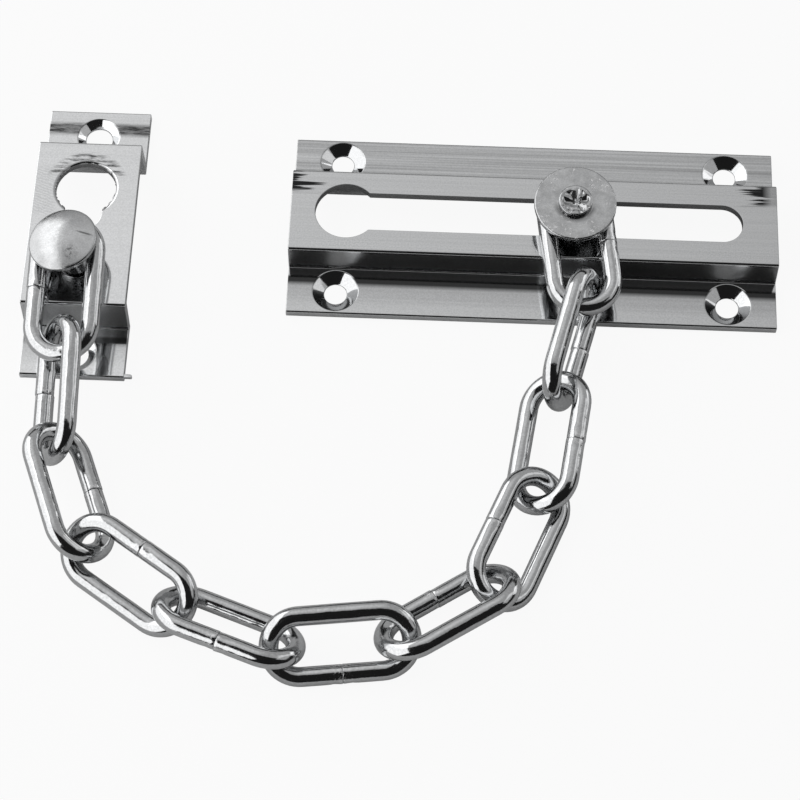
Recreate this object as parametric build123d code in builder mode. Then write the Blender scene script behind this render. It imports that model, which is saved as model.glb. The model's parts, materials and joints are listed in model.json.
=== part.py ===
"""Door security chain laid out on a flat surface, in millimetres.

A slotted slide plate carries a stud that runs along its slot. Wire links join that stud
to a domed stud on a smaller keep plate. The origin is the middle of the slide plate's
back face, X runs along the slot and Z points away from the door.
"""
import os
from math import asin, atan, cos, degrees, radians, sin, tan

from build123d import *

os.makedirs("parts", exist_ok=True)

# Section of both plates: a raised channel between two flanges
sheet = 1.6
web_lean = 0.7
bend = 0.7
edge_break = 0.15

# Clearances
clear = 0.3
seat_gap = 0.05
hole_gap = 0.12
under_gap = 0.2

# Slide plate
slide_length = 90.0
slide_height = 6.9
slide_raised = 17.2
slot_end_inset = 10.3
slide_bore = 4.2
slide_sink = 8.7
slide_sink_depth = 1.4
sink_margin = 0.45
hole_end_inset = 8.9

# Chain links, bent from round wire with a butt seam half way along one side
wire = 3.4
link_play = 3.8
link_inner_length = 21.0
seam = 0.15
seam_edge = 0.2

# Sliding stud: base under the plate, neck in the slot, disc staked on top
slider_x = 7.3
slider_lean = 4.0
neck_play = 0.4
slot_play = 0.68
base_overlap = 1.2
base_thick = 1.8
keyhole_play = 0.65
disc_d = 15.0
disc_thick = 1.25
disc_edge = 0.25
spigot_d = 4.4
stake_d = 6.2
stake_high = 0.95
stake_edge = 0.3
stake_dent_d = 3.6
stake_dent_deep = 0.55
stake_cut_wide = 0.5
stake_cut_deep = 0.4
stake_cuts = 4

# Keep plate and its parking keyhole
keep_width = 19.1
keep_height = 9.1
keep_raised = 34.6
keep_rear_flange = 11.3
keep_front_flange = 10.0
keep_bore = 5.0
keep_sink = 8.2
keep_sink_depth = 1.3
keep_key_inset = 10.0
keep_key_drop = 5.4
keep_key_play = 0.5
keep_slot_play = 0.2
nib_wide = 1.4
nib_long = 0.9
nib_under = 0.6
nib_thick = 0.7

# Domed stud of the keep, a rivet that leans in its hole
stud_to_edge = 8.6
stud_lean = 11.0
stud_neck_play = 0.85
dome_d = 12.6
dome_rim = 0.9
dome_rise = 1.1
washer_d = 9.0
washer_thick = 1.0
rivet_spigot_d = 3.8
rivet_tail_d = 5.2
rivet_tail_high = 0.8

# How the chain lies, from the sliding stud to the keep: link number, heading and roll in
# degrees, slack to the link before it, side of its seam (1 is the outside of the bend)
chain = [
    (11, -82, 0, 0.0, 1),
    (10, -104, -73, 1.7, 1),
    (9, -98, 29, 1.0, 1),
    (8, -112, -29, 1.7, -1),
    (7, -147, 36, 1.4, -1),
    (6, -173, -36, 1.3, 1),
    (5, 160, 38, 1.1, 1),
    (4, 146, -33, 0.8, -1),
    (3, 111, 39, 1.1, -1),
    (2, 91, -58, 1.6, 1),
    (1, 90, -8, 2.1, 1),
]
first_slope = -6.0
last_slope = 10.5

# How far a link's end is above the height it has when lying flat on the table
rise_9 = 1.7
rise_3 = 1.1

# How far a link's end is above the end of the plate-side link it hangs on
hang_10 = 1.4
hang_2 = 1.0

# Sizes that follow from the fits
link_inner_width = wire + link_play
link_r = (link_inner_width + wire) / 2
link_reach = link_inner_length + wire
slider_neck_d = link_inner_width - 2 * neck_play
slot_width = slider_neck_d + 2 * slot_play
slider_base_d = slot_width + 2 * base_overlap
keyhole_d = slider_base_d + 2 * keyhole_play
keep_slot_width = slider_neck_d + 2 * keep_slot_play
keep_key_d = slider_base_d + 2 * keep_key_play
stud_neck_d = link_inner_width - 2 * stud_neck_play
slide_flange = slide_sink + 2 * sink_margin
slot_half = slide_length / 2 - slot_end_inset
hole_x = slide_length / 2 - hole_end_inset
hole_y = slide_raised / 2 + web_lean + slide_flange / 2
slide_sink_angle = 2 * degrees(atan((slide_sink - slide_bore) / 2 / slide_sink_depth))
keep_sink_angle = 2 * degrees(atan((keep_sink - keep_bore) / 2 / keep_sink_depth))
stud_hole_d = stud_neck_d / cos(radians(stud_lean)) + sheet * tan(radians(stud_lean)) + 2 * hole_gap


def channel(front, rear, front_flange, rear_flange, height):
    """Section of a plate, as (y, z) points: flange, web, raised top, web, flange."""
    return [
        (front - web_lean - front_flange, 0),
        (front - web_lean - front_flange, sheet),
        (front - web_lean, sheet),
        (front, height),
        (rear, height),
        (rear + web_lean, sheet),
        (rear + web_lean + rear_flange, sheet),
        (rear + web_lean + rear_flange, 0),
        (rear + web_lean - sheet, 0),
        (rear - sheet, height - sheet),
        (front + sheet, height - sheet),
        (front - web_lean + sheet, 0),
    ]


def direction(heading, slope):
    """Unit vector at a heading in the table's plane and a slope above it."""
    level = cos(radians(slope))
    return Vector(level * cos(radians(heading)), level * sin(radians(heading)), sin(radians(slope)))


def lying(roll):
    """Height of a link's middle line when it lies on the table at a roll."""
    return link_r * abs(sin(radians(roll))) + wire / 2


# Heights of the near and far ends of each link's middle line
heights = {number: [lying(roll), lying(roll)] for number, heading, roll, slack, side in chain}
first_heading = chain[0][1]
first_back = slider_neck_d / 2 + clear + wire / 2
first_run = first_back + slide_raised / 2 / abs(sin(radians(first_heading)))
first_over_edge = slide_height + clear + wire / 2 / cos(radians(first_slope))
first_near = first_over_edge - first_run * tan(radians(first_slope))
last_roll = chain[-1][2]
last_back = stud_neck_d / 2 + clear + wire / 2
last_over_edge = keep_height + clear + wire / 2 / cos(radians(last_slope)) + link_r * abs(sin(radians(last_roll)))
last_far = last_over_edge + (last_back + stud_to_edge) * tan(radians(last_slope))
heights[11] = [first_near, first_near + link_reach * sin(radians(first_slope))]
heights[10][0] = heights[11][1] + hang_10
heights[9][0] += rise_9
heights[3][1] += rise_3
heights[1] = [last_far - link_reach * sin(radians(last_slope)), last_far]
heights[2][1] = heights[1][0] + hang_2

# Sliding stud: it leans to the front about a point in the slot
slider_pivot = Vector(slider_x, 0, slide_height - sheet / 2)
slider_plane = Plane(
    origin=slider_pivot,
    x_dir=(1, 0, 0),
    z_dir=(0, -sin(radians(slider_lean)), cos(radians(slider_lean))),
)
slider_section = Plane(origin=slider_pivot, x_dir=slider_plane.x_dir, z_dir=-slider_plane.y_dir)
neck_up = (first_near - slider_pivot.Z) / cos(radians(slider_lean))
near = slider_pivot + slider_plane.z_dir * neck_up - direction(first_heading, 0) * first_back

# Plane of each link: origin at its near end, X along the link, Y across it
link_planes = {}
for number, heading, roll, slack, side in chain:
    near_z, far_z = heights[number]
    along = direction(heading, degrees(asin((far_z - near_z) / link_reach)))
    if link_planes:
        half_node = (wire + slack) / 2
        near = far - before * half_node - along * half_node
    near = Vector(near.X, near.Y, near_z)
    left = direction(heading + 90, 0)
    facing = along.cross(left) * cos(radians(roll)) - left * sin(radians(roll))
    link_planes[number] = Plane(origin=near, x_dir=along, z_dir=facing)
    far = near + along * link_reach
    before = along

# Keep stud: its neck stands in the far end of link 1 and leans to the left
lean_dir = Vector(-sin(radians(stud_lean)), 0, cos(radians(stud_lean)))
stud_up = (last_far - keep_height + sheet / 2) / cos(radians(stud_lean))
stud_pivot = far - direction(chain[-1][1], 0) * last_back - lean_dir * stud_up
stud_plane = Plane(origin=stud_pivot, x_dir=(0, 1, 0), z_dir=lean_dir)
stud_section = Plane(origin=stud_pivot, x_dir=stud_plane.x_dir, z_dir=-stud_plane.y_dir)

# Keep plate, set out from its stud
keep_x = stud_pivot.X
keep_front = stud_pivot.Y - stud_to_edge
keep_rear = keep_front + keep_raised
keep_key_y = keep_rear - keep_key_inset
keep_rear_hole_y = keep_rear + web_lean + keep_rear_flange / 2
keep_front_hole_y = keep_front - web_lean - keep_front_flange / 2
keep_front_end = keep_front - web_lean - keep_front_flange

# Levels on the two studs, along their own axes from the plate's mid thickness
base_top = -sheet / 2 - slider_base_d / 2 * tan(radians(slider_lean)) - under_gap
first_top = link_planes[11].origin + link_planes[11].z_dir * (wire / 2)
disc_under = (first_top - slider_pivot).dot(slider_plane.z_dir) + clear
stake_under = disc_under + disc_thick + seat_gap
stake_top = stake_under + stake_high
washer_top = -sheet / 2 - washer_d / 2 * tan(radians(stud_lean)) - under_gap
washer_under = washer_top - washer_thick
last_top = far + link_planes[1].z_dir * (wire / 2)
dome_under = (last_top - stud_pivot).dot(lean_dir) + clear
dome_radius = ((dome_d / 2) ** 2 + dome_rise**2) / 2 / dome_rise

# Slide plate
with BuildPart() as slide_plate:
    with BuildSketch(Plane.YZ) as slide_section:
        with BuildLine():
            Polyline(
                channel(-slide_raised / 2, slide_raised / 2, slide_flange, slide_flange, slide_height),
                close=True,
            )
        make_face()
        fillet(slide_section.vertices().group_by(Axis.Y)[-1], bend)
    extrude(amount=slide_length / 2, both=True)
    with BuildSketch(Plane.XY.offset(slide_height)):
        SlotCenterToCenter(2 * slot_half, slot_width)
        with Locations((-slot_half, 0)):
            Circle(keyhole_d / 2)
    extrude(amount=-sheet, mode=Mode.SUBTRACT)
    chamfer(slide_plate.faces().sort_by(Axis.Z)[-1].inner_wires().edges(), edge_break)
    with Locations((0, 0, sheet)):
        with GridLocations(2 * hole_x, 2 * hole_y, 2, 2):
            CounterSinkHole(slide_bore / 2, slide_sink / 2, sheet, slide_sink_angle)
slide_plate.part.label = "slide_plate"
export_step(slide_plate.part, "parts/slide_plate.step")

# Sliding stud, turned in one piece, its tail staked over the disc
with BuildPart() as slider_stud:
    with BuildSketch(slider_section):
        with BuildLine():
            Polyline(
                (0, base_top - base_thick),
                (slider_base_d / 2, base_top - base_thick),
                (slider_base_d / 2, base_top),
                (slider_neck_d / 2, base_top),
                (slider_neck_d / 2, disc_under - seat_gap),
                (spigot_d / 2, disc_under - seat_gap),
                (spigot_d / 2, stake_under),
                (stake_d / 2, stake_under),
                (stake_d / 2, stake_top - stake_edge),
                (stake_d / 2 - stake_edge, stake_top),
                (stake_dent_d / 2, stake_top),
                (0, stake_top - stake_dent_deep),
                close=True,
            )
        make_face()
    revolve(axis=Axis(slider_pivot, slider_plane.z_dir))
    with BuildSketch(slider_plane.offset(stake_top)):
        with PolarLocations(stake_d / 4, stake_cuts):
            Rectangle(stake_d / 2, stake_cut_wide)
    extrude(amount=-stake_cut_deep, mode=Mode.SUBTRACT)
slider_stud.part.label = "slider_stud"
export_step(slider_stud.part, "parts/slider_stud.step")

# Disc that holds the first link down
with BuildPart() as slider_disc:
    with BuildSketch(slider_plane.offset(disc_under)):
        Circle(disc_d / 2)
        Circle(spigot_d / 2 + seat_gap, mode=Mode.SUBTRACT)
    extrude(amount=disc_thick)
    chamfer(slider_disc.edges().filter_by(GeomType.CIRCLE).group_by(SortBy.RADIUS)[-1], disc_edge)
slider_disc.part.label = "slider_disc"
export_step(slider_disc.part, "parts/slider_disc.step")

# Links: round wire round an oval, from one side of the seam to the other
for number, heading, roll, slack, side in chain:
    with BuildPart() as link:
        with BuildLine(link_planes[number]) as oval:
            Line(((link_reach + seam) / 2, side * link_r), (link_reach - link_r, side * link_r))
            ThreePointArc(
                (link_reach - link_r, side * link_r),
                (link_reach, 0),
                (link_reach - link_r, -side * link_r),
            )
            Line((link_reach - link_r, -side * link_r), (link_r, -side * link_r))
            ThreePointArc((link_r, -side * link_r), (0, 0), (link_r, side * link_r))
            Line((link_r, side * link_r), ((link_reach - seam) / 2, side * link_r))
        with BuildSketch(Plane(origin=oval.line @ 0, z_dir=oval.line % 0)):
            Circle(wire / 2)
        sweep(path=oval.line)
        chamfer(link.faces().filter_by(GeomType.PLANE).edges(), seam_edge)
    link.part.label = f"link_{number}"
    export_step(link.part, f"parts/link_{number}.step")

# Keep plate, with a small burr left standing out of its right edge at the front
with BuildPart() as keep_plate:
    with BuildSketch(Plane.YZ.offset(keep_x)) as keep_section:
        with BuildLine():
            Polyline(
                channel(keep_front, keep_rear, keep_front_flange, keep_rear_flange, keep_height),
                close=True,
            )
        make_face()
        fillet(keep_section.vertices().group_by(Axis.Y)[-1], bend)
    extrude(amount=keep_width / 2, both=True)
    with BuildSketch(Plane((keep_x, keep_key_y, keep_height))):
        Circle(keep_key_d / 2)
        with Locations((0, -keep_key_drop / 2)):
            SlotCenterToCenter(keep_key_drop, keep_slot_width, rotation=90)
    extrude(amount=-sheet, mode=Mode.SUBTRACT)
    with BuildSketch(Plane((keep_x, stud_pivot.Y, keep_height))):
        Circle(stud_hole_d / 2)
    extrude(amount=-sheet, mode=Mode.SUBTRACT)
    chamfer(keep_plate.faces().sort_by(Axis.Z)[-1].inner_wires().edges(), edge_break)
    with Locations((keep_x, keep_rear_hole_y, sheet), (keep_x, keep_front_hole_y, sheet)):
        CounterSinkHole(keep_bore / 2, keep_sink / 2, sheet, keep_sink_angle)
    with BuildSketch(Plane((keep_x + keep_width / 2, keep_front_end, nib_under))):
        Rectangle(2 * nib_wide, nib_long, align=(Align.CENTER, Align.MIN))
    extrude(amount=nib_thick)
keep_plate.part.label = "keep_plate"
export_step(keep_plate.part, "parts/keep_plate.step")

# Domed stud of the keep
with BuildPart() as keep_stud:
    with BuildSketch(stud_section):
        with BuildLine():
            Polyline(
                (0, dome_under + dome_rim + dome_rise),
                (0, washer_under - seat_gap - rivet_tail_high),
                (rivet_tail_d / 2, washer_under - seat_gap - rivet_tail_high),
                (rivet_tail_d / 2, washer_under - seat_gap),
                (rivet_spigot_d / 2, washer_under - seat_gap),
                (rivet_spigot_d / 2, washer_top + seat_gap),
                (stud_neck_d / 2, washer_top + seat_gap),
                (stud_neck_d / 2, dome_under),
                (dome_d / 2, dome_under),
                (dome_d / 2, dome_under + dome_rim),
            )
            RadiusArc(
                (dome_d / 2, dome_under + dome_rim),
                (0, dome_under + dome_rim + dome_rise),
                -dome_radius,
            )
        make_face()
    revolve(axis=Axis(stud_pivot, lean_dir))
keep_stud.part.label = "keep_stud"
export_step(keep_stud.part, "parts/keep_stud.step")

# Washer under the keep plate
with BuildPart() as keep_stud_washer:
    with BuildSketch(stud_plane.offset(washer_under)):
        Circle(washer_d / 2)
        Circle(rivet_spigot_d / 2 + seat_gap, mode=Mode.SUBTRACT)
    extrude(amount=washer_thick)
keep_stud_washer.part.label = "keep_stud_washer"
export_step(keep_stud_washer.part, "parts/keep_stud_washer.step")
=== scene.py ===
"""Door security chain: chromed plates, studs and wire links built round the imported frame."""

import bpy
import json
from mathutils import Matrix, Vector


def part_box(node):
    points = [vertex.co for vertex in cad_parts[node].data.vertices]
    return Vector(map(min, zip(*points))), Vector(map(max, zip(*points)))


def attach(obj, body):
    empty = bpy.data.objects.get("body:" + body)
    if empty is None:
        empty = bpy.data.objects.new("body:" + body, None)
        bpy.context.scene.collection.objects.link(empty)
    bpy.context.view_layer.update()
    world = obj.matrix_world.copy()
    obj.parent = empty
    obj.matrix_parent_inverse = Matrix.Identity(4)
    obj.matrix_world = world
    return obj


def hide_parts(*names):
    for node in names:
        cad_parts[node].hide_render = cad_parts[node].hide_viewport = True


bl_info = {
    "name": "Door security chain",
    "version": (1, 0, 0),
    "blender": (4, 5, 0),
    "location": "View3D > Sidebar > Door chain",
    "description": "Builds the chromed plates, studs and links of a door chain on its packed frame",
    "category": "Object",
}

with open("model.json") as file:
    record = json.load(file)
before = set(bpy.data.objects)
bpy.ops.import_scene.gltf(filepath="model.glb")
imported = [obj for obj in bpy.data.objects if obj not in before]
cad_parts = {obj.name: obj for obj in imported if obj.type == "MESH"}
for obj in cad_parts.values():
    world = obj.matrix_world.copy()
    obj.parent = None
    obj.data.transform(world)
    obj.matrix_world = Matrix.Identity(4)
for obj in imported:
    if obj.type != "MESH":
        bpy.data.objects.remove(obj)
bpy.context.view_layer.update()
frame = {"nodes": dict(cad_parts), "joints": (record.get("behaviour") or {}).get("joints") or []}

import json
import math

import bmesh
import bpy
import numpy as np
from bpy.props import FloatProperty, FloatVectorProperty, IntProperty, PointerProperty
from mathutils import Matrix, Vector

MM = 0.001
JOINTS = {joint["name"]: joint for joint in frame["joints"]}
WHITE = (1, 1, 1, 1)
# Scale of coordinates that leaves out the height
FLAT = (1.0, 1.0, 0.0)
# Height of the draw lines in a plate
LINE_DEPTH = 0.006 * MM
# Further out than any edge of the part, in metres
FAR_OUT = 1.0
# Points round a turned piece or a hole, and the radius under which a ring is one point
ROUND_STEPS = 96
ON_AXIS = 1e-9
CLASSES = []


def listed(cls):
    """Keeps a class for register and unregister."""
    CLASSES.append(cls)
    return cls


def linear(colour):
    """A hex sRGB colour as linear red, green, blue and alpha."""
    parts = [int(colour[i : i + 2], 16) / 255 for i in (0, 2, 4)]
    return [c / 12.92 if c <= 0.04045 else ((c + 0.055) / 1.055) ** 2.4 for c in parts] + [1.0]


def length(name, description, millimetres):
    """A length property with its default given in millimetres."""
    return FloatProperty(
        name=name,
        description=description,
        default=millimetres * MM,
        precision=5,
        subtype="DISTANCE",
        unit="LENGTH",
    )


def tint(name, description, colour):
    """A colour property with its default given as a hex sRGB value."""
    return FloatVectorProperty(
        name=name,
        description=description,
        default=linear(colour),
        size=4,
        min=0,
        max=1,
        subtype="COLOR",
    )


@listed
class DOORCHAIN_PG_links(bpy.types.PropertyGroup):
    wire: length("Wire", "Diameter of the link wire", 3.4)
    reach: length("Reach", "Length of a link between the middles of its end wires", 24.4)
    turn: length("End radius", "Radius of a link's end at the middle of the wire", 5.3)
    seam: length("Seam", "Gap of the butt seam", 0.02)
    seam_round: length("Seam round", "Rounding of the wire's cut ends", 0.14)
    seam_step: length("Seam step", "Sideways step between the two cut ends", 0.14)
    bruise: length("Bruise", "Depth of the marks that closing the link left beside its seam", 0.12)


@listed
class DOORCHAIN_PG_plates(bpy.types.PropertyGroup):
    sheet: length("Sheet", "Thickness of both plates", 1.6)
    lean: length("Web lean", "How far a web leans out between top and foot", 0.7)
    bend: length("Bend", "Radius of the outer bends", 0.5)
    edge: length("Edge", "Width of the softened edges", 0.16)
    flange_round: length("Flange round", "Rounding of the flanges' long edges", 0.35)
    slide_raised: length("Slide raised width", "Width of the slide plate's raised top", 17.2)
    slot: length("Slot width", "Width of the slide plate's slot", 7.76)
    slot_half: length("Slot half length", "Slot end centre from the middle of the plate", 34.7)
    keyhole: length("Keyhole", "Diameter of the slide plate's keyhole", 11.46)
    hole_x: length("Hole X", "Screw hole from the middle along the slide plate", 36.1)
    hole_y: length("Hole Y", "Screw hole from the middle across the slide plate", 14.1)
    bore: length("Bore", "Slide plate screw hole diameter", 4.2)
    sink: length("Countersink", "Slide plate countersink diameter", 8.7)
    sink_deep: length("Countersink depth", "Depth of the slide plate's countersinks", 1.4)
    keep_width: length("Keep width", "Width of the keep plate", 19.1)
    keep_rear_flange: length("Keep rear flange", "Length of the keep plate's rear flange", 11.3)
    keep_front_flange: length("Keep front flange", "Length of the keep plate's front flange", 10.0)
    keep_bore: length("Keep bore", "Keep plate screw hole diameter", 5.0)
    keep_sink: length("Keep countersink", "Keep plate countersink diameter", 8.2)
    keep_sink_deep: length("Keep countersink depth", "Depth of the keep plate's countersinks", 1.3)
    keep_key: length("Keep keyhole", "Diameter of the keep plate's keyhole", 11.16)
    key_rim: length("Keyhole rim", "Width of the dressed rim round the keep plate's keyhole", 0.4)
    keep_key_in: length("Keyhole inset", "Keyhole centre from the raised part's rear edge", 10.0)
    keep_key_drop: length("Keyhole drop", "Keyhole centre to its slot's end centre", 5.4)
    keep_slot: length("Keep slot width", "Width of the keyhole's slot", 6.8)
    stud_hole: length("Stud hole", "Diameter of the hole for the domed stud", 6.15)
    nib_wide: length("Burr width", "How far the burr stands out of the keep's right edge", 1.4)
    nib_long: length("Burr length", "Length of the burr along the right edge", 0.9)
    nib_under: length("Burr height", "Height of the burr's underside above the table", 0.6)
    nib_thick: length("Burr thickness", "Thickness of the burr", 0.7)


@listed
class DOORCHAIN_PG_studs(bpy.types.PropertyGroup):
    disc: length("Disc", "Diameter of the sliding stud's disc", 15.0)
    neck: length("Neck", "Diameter of the sliding stud's neck", 6.4)
    base: length("Base", "Diameter of the sliding stud's base", 10.16)
    base_thick: length("Base thickness", "Thickness of the base", 1.8)
    spigot: length("Spigot", "Diameter of the spigot through the disc", 4.4)
    tail: length("Tail", "Diameter of the staked tail", 6.2)
    tail_high: length("Tail height", "Height of the staked tail above the disc", 0.95)
    stake_deep: length("Stake depth", "Depth of the crushed hollow in the tail", 0.9)
    dome: length("Dome", "Diameter of the domed stud's head", 12.6)
    dome_rim: length("Dome rim", "Height of the dome's straight rim", 0.9)
    dome_rise: length("Dome rise", "Rise of the dome above its rim", 1.1)
    dome_skew: length("Dome skew", "Tilt of the dome's middle, as a drop over its radius", 0.44)
    dome_neck: length("Dome neck", "Diameter of the domed stud's neck", 5.5)
    washer: length("Washer", "Diameter of the washer under the keep plate", 9.0)
    rivet_spigot: length("Rivet spigot", "Diameter of the domed stud in the washer", 3.8)
    rivet_tail: length("Rivet tail", "Diameter of the domed stud's riveted tail", 5.2)
    rivet_tail_high: length("Rivet tail height", "Height of the riveted tail", 0.8)
    gap: length("Seat gap", "Gap between riveted pieces", 0.05)


@listed
class DOORCHAIN_PG_finish(bpy.types.PropertyGroup):
    plate: tint("Slide chrome", "Reflection colour of the drawn slide plate", "D2D3D4")
    keep: tint("Keep chrome", "Reflection colour of the milled keep plate", "E2E3E4")
    # The torn colour also paints the dark reflection band across the keep plate's rear flange
    torn: tint("Torn chrome", "Colour of torn streaks, smudges and scratches", "2C2C2D")
    wire: tint("Link chrome", "Reflection colour of the polished wire", "D2D3D4")
    stud: tint("Stud chrome", "Reflection colour of the turned and the domed stud", "CECFD0")
    chip: tint("Chipped chrome", "Colour of chips on the studs and scuffs at the seams", "E6E6E7")
    floor: tint("Floor", "Colour of the table", "D2D2D2")


@listed
class DOORCHAIN_PG_stage(bpy.types.PropertyGroup):
    eye: FloatVectorProperty(
        name="Camera place",
        description="Where the camera stands",
        default=(-0.01490, -0.24059, 0.39439),
        size=3,
        subtype="TRANSLATION",
        unit="LENGTH",
    )
    aim: FloatVectorProperty(
        name="Camera aim",
        description="The point the camera looks at",
        default=(-0.02329, -0.03549, 0.0),
        size=3,
        subtype="TRANSLATION",
        unit="LENGTH",
    )
    lens: FloatProperty(
        name="Lens",
        description="Focal length on a 36 mm sensor, in millimetres",
        default=110.71,
        min=10,
        unit="CAMERA",
    )
    around: FloatProperty(
        name="Room",
        description="Brightness of the room round the lamps",
        default=0.015,
        min=0,
        max=1,
        subtype="FACTOR",
    )


def add_node(tree, kind, inputs=None, links=None, **settings):
    """Adds a node, sets it and its inputs, and links sockets or nodes' first live outputs in."""
    node = tree.nodes.new("ShaderNode" + kind)
    for name, value in settings.items():
        setattr(node, name, value)
    for name, value in (inputs or {}).items():
        node.inputs[name].default_value = value
    for name, source in (links or {}).items():
        if isinstance(source, bpy.types.Node):
            source = next(output for output in source.outputs if output.enabled)
        tree.links.new(source, node.inputs[name])
    return node


def new_material(name):
    """An empty node material and its tree."""
    material = bpy.data.materials.new(name)
    material.use_nodes = True
    material.node_tree.nodes.clear()
    return material, material.node_tree


def per_mm(*sizes):
    """Pattern scales along X, Y and Z from sizes in millimetres."""
    return tuple(1 / (size * MM) for size in sizes)


def spots(detail, roughness, size=None):
    """Noise inputs for spots of a size in millimetres, or of the size that a mapping gives."""
    scale = 1.0 if size is None else 1 / (size * MM)
    return {"Scale": scale, "Detail": detail, "Roughness": roughness}


def ramp(low, high, at_low=0.0, at_high=1.0):
    """Range inputs that turn a low and a high value into two others."""
    return {"From Min": low, "From Max": high, "To Min": at_low, "To Max": at_high}


def between(tree, value, low, high, soft, within=None):
    """Mask that is 1 between two lengths, in metres, with soft edges, inside another mask."""
    links = {"Value": value} if within is None else {"Value": value, "To Max": within}
    rise = add_node(tree, "MapRange", ramp(low - soft, low + soft), links)
    return add_node(
        tree,
        "MapRange",
        ramp(high - soft, high + soft, at_high=0.0),
        {"Value": value, "To Min": rise},
    )


def machined_faces(tree, axes, sheet):
    """Mask of cones and cut edges, which lie just under the flanges' upper faces."""
    return between(tree, axes["Z"], 0.1 * MM, sheet - 0.12 * MM, 0.06 * MM)


def drawn_lines(tree, place, lined):
    """Draw lines along X, as strong as a mask says: their height, dullness and shade."""
    # Draw lines are about 0.1 mm apart, too fine for the picture, and are drawn 0.5 mm apart
    fine_way = add_node(tree, "Mapping", {"Scale": per_mm(110, 0.5, 0.5)}, {"Vector": place})
    fine = add_node(tree, "TexNoise", spots(2.0, 0.7), {"Vector": fine_way})
    # A few deeper lines, some millimetres apart and as long as the plate
    deep_way = add_node(tree, "Mapping", {"Scale": per_mm(160, 1.1, 1.1)}, {"Vector": place})
    deep = add_node(tree, "TexNoise", spots(2.0, 0.6), {"Vector": deep_way})
    # Nicks from handling, some tenths of a millimetre long
    marks = add_node(tree, "TexNoise", spots(4.0, 0.7, size=0.9), {"Vector": place})
    nicks = add_node(tree, "MapRange", ramp(0.67, 0.74), {"Value": marks})
    scored = add_node(tree, "MapRange", {"To Min": 0.5}, {"Value": lined, "To Max": fine})
    height = add_node(tree, "Math", {1: -0.4}, {0: nicks, 2: scored}, operation="MULTIPLY_ADD")
    line_dull = add_node(tree, "MapRange", ramp(0.35, 0.65, 0.12, 0.22), {"Value": fine})
    dull = add_node(tree, "MapRange", {"To Min": 0.07}, {"Value": lined, "To Max": line_dull})
    line_shade = add_node(tree, "MapRange", ramp(0.35, 0.66, 1.0, 0.64), {"Value": fine})
    deep_shade = add_node(
        tree, "MapRange", ramp(0.6, 0.65, at_high=0.45), {"Value": deep, "To Min": line_shade}
    )
    shade = add_node(tree, "MapRange", {"To Min": 1.0}, {"Value": lined, "To Max": deep_shade})
    return height, dull, shade


def plate_wear_and_painted_shade(
    tree, axes, shade, dull, front, rear, height, sizes, painted_corner_shade, web_shade, web_dull
):
    """Shade and dullness of a plate with its painted dark front corner, its webs and its sawn
    openings.
    """
    foot = front - sizes.lean
    # Painted shade darkens the front flange near the front web's foot, for the web's dark
    # reflection.
    # Away from the foot the shade starts, is full, thins out, is faint and is gone
    starts, full, thins, faint, gone = (foot - d * MM for d in (1.6, 2.1, 3.0, 4.0, 8.0))
    by_foot = add_node(
        tree, "MapRange", ramp(thins, faint, painted_corner_shade, 0.78), {"Value": axes["Y"]}
    )
    off_foot = add_node(
        tree, "MapRange", ramp(faint, gone), {"Value": axes["Y"], "To Min": by_foot}
    )
    flanges = between(tree, axes["Z"], sizes.sheet - 0.1 * MM, sizes.sheet + 0.3 * MM, 0.06 * MM)
    front_flange = between(tree, axes["Y"], -FAR_OUT, foot, 0.05 * MM, flanges)
    at_foot = add_node(
        tree, "MapRange", ramp(full, starts), {"Value": axes["Y"], "To Min": off_foot}
    )
    corner = add_node(tree, "MapRange", {"To Min": 1.0}, {"Value": front_flange, "To Max": at_foot})
    lines_and_painted_shade = add_node(tree, "Math", links={0: corner, 1: shade}, operation="MULTIPLY")
    # The sawn walls of the openings are in the raised top, away from the webs
    low, inset = height - sizes.sheet - 0.1 * MM, 1.2 * MM
    upper = between(tree, axes["Z"], low, height - 0.1 * MM, 0.05 * MM)
    walls = between(tree, axes["Y"], front + inset, rear - inset, 0.1 * MM, upper)
    webs = between(tree, axes["Z"], sizes.sheet + 0.5 * MM, height - sizes.bend, 0.2 * MM)
    dim = add_node(tree, "MapRange", {"To Max": web_shade}, {"Value": webs, "To Min": lines_and_painted_shade})
    sawn = add_node(tree, "MapRange", {"To Max": 0.4}, {"Value": walls, "To Min": dim})
    matt = add_node(tree, "MapRange", {"To Max": web_dull}, {"Value": webs, "To Min": dull})
    return sawn, matt


def chrome_surface(tree, place, colour, shade, dull, height, depth, marks):
    """Metal with marks, given as mask, colour and dullness, under the plating's fine grain."""
    mark, mark_colour, mark_dull = marks
    # The grain of worn plating is finer than a pixel, and is drawn about 0.3 mm wide
    grain = add_node(tree, "TexNoise", spots(1.0, 0.5, size=0.3), {"Vector": place})
    speckle = add_node(tree, "MapRange", ramp(0.3, 0.7, 0.88), {"Value": grain})
    worn = add_node(tree, "Math", links={0: speckle, 1: shade}, operation="MULTIPLY")
    multiplied = {"data_type": "RGBA", "blend_type": "MULTIPLY"}
    plain = add_node(tree, "Mix", {"Factor": 1.0, "A": colour}, {"B": worn}, **multiplied)
    tone = add_node(tree, "Mix", {"B": mark_colour}, {"Factor": mark, "A": plain}, data_type="RGBA")
    rough = add_node(tree, "Mix", {"B": mark_dull}, {"Factor": mark, "A": dull}, data_type="FLOAT")
    relief = add_node(tree, "Bump", {"Distance": depth}, {"Height": height})
    surface = add_node(
        tree,
        "BsdfPrincipled",
        {"Metallic": 1.0},
        {"Base Color": tone, "Roughness": rough, "Normal": relief},
    )
    add_node(tree, "OutputMaterial", links={"Surface": surface})


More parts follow.
